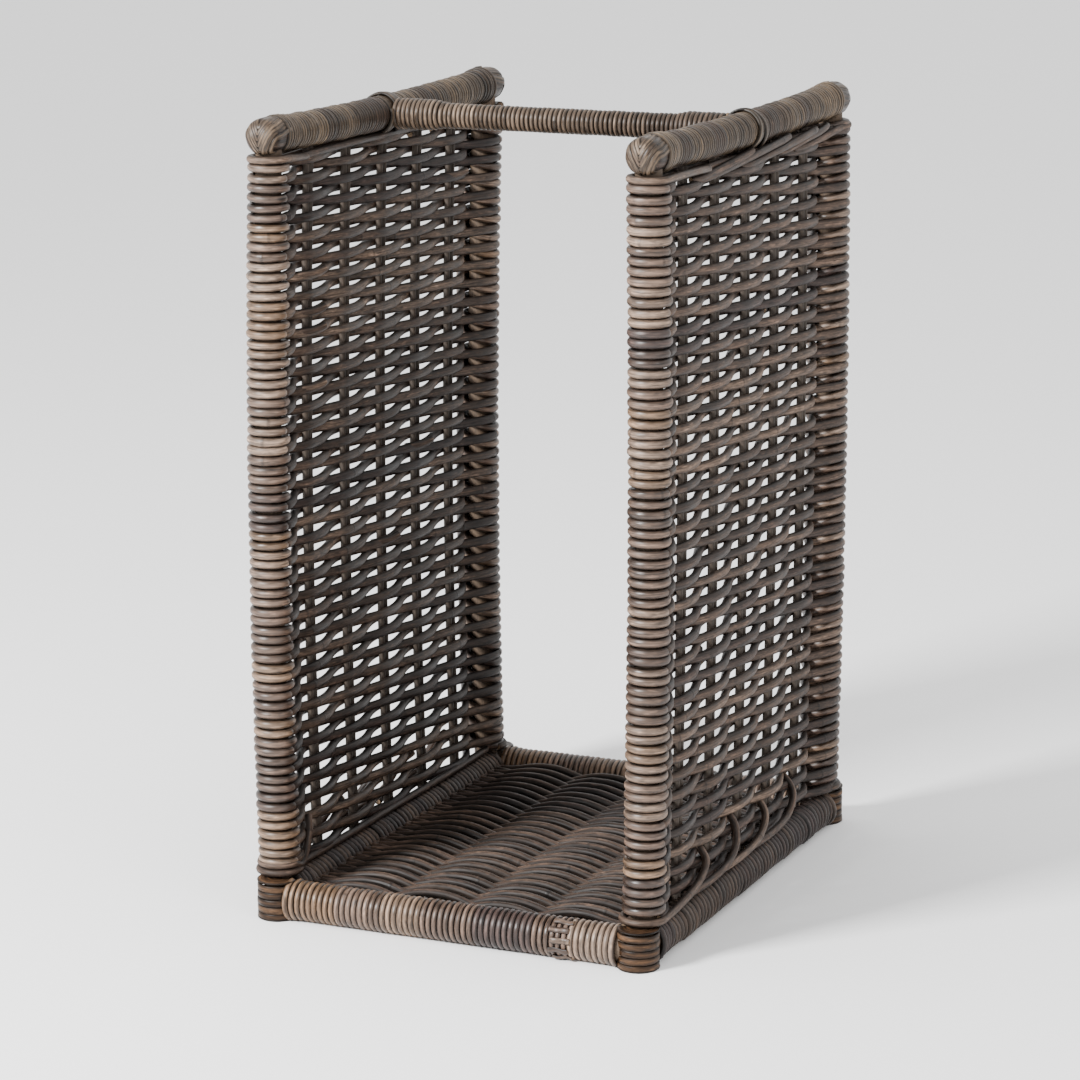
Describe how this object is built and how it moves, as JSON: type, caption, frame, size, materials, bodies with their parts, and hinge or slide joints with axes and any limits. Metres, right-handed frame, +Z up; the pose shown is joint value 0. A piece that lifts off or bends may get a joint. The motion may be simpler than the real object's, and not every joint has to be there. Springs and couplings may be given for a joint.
{
  "type": "log basket",
  "caption": "Tall open-fronted rattan log basket with two woven side walls, a woven floor, wound rails and a cross handle.",
  "frame": {"origin": "on the floor under the middle of the basket's outer box", "axes": "+Z up; -Y towards the open front; +X to the right when looking in from the front"},
  "size_m": [0.4219, 0.531, 0.7575],
  "materials": {
    "rattan_pole": "peeled rattan pole, unvarnished, hidden under the windings",
    "stake_rod": "weathered grey-brown rattan rod",
    "wall_strand": "unpeeled grey-brown rattan strand, faint satin skin, nodes and splices",
    "post_strand": "grey-brown rattan strand turned round the posts, satin skin",
    "floor_strand": "grey-brown rattan strand, darker and duller",
    "base_winding": "half-round rattan winding, satin, varied tints",
    "top_peel": "flat rattan peel with fine lines along it, olive grey-brown",
    "handle_winding": "half-round rattan winding, smoothed by hands, satin",
    "corner_peel": "dark brown rattan peel",
    "steel_nail": "plain wire nail"
  },
  "bodies": {
    "root": {"base_corner_lashing_front_left": "corner_peel", "base_corner_lashing_front_right": "corner_peel", "base_corner_lashing_rear_left": "corner_peel", "base_corner_lashing_rear_right": "corner_peel", "base_rail_front": "rattan_pole", "base_rail_left": "rattan_pole", "base_rail_rear": "rattan_pole", "base_rail_right": "rattan_pole", "base_wrap_front": "base_winding", "base_wrap_left": "base_winding", "base_wrap_rear": "base_winding", "base_wrap_right": "base_winding", "bottom_border_left": "wall_strand", "bottom_border_right": "wall_strand", "floor_stake_1": "stake_rod", "floor_stake_2": "stake_rod", "floor_stake_3": "stake_rod", "floor_stake_4": "stake_rod", "floor_weave": "floor_strand", "frame_nails": "steel_nail", "handle_bar": "rattan_pole", "handle_lash_left": "top_peel", "handle_lash_right": "top_peel", "handle_wrap": "handle_winding", "post_binding_front_left": "post_strand", "post_binding_front_right": "post_strand", "post_binding_rear_left": "post_strand", "post_binding_rear_right": "post_strand", "post_front_left": "rattan_pole", "post_front_right": "rattan_pole", "post_rear_left": "rattan_pole", "post_rear_right": "rattan_pole", "rail_end_cap_front_left": "top_peel", "rail_end_cap_front_right": "top_peel", "rail_end_cap_rear_left": "top_peel", "rail_end_cap_rear_right": "top_peel", "stake_left_1": "stake_rod", "stake_left_2": "stake_rod", "stake_left_3": "stake_rod", "stake_left_4": "stake_rod", "stake_left_5": "stake_rod", "stake_right_1": "stake_rod", "stake_right_2": "stake_rod", "stake_right_3": "stake_rod", "stake_right_4": "stake_rod", "stake_right_5": "stake_rod", "top_border_left": "wall_strand", "top_border_right": "wall_strand", "top_rail_left": "rattan_pole", "top_rail_right": "rattan_pole", "top_wrap_left": "top_peel", "top_wrap_right": "top_peel", "wall_weave_left": "wall_strand", "wall_weave_right": "wall_strand"}
  },
  "joints": []
}
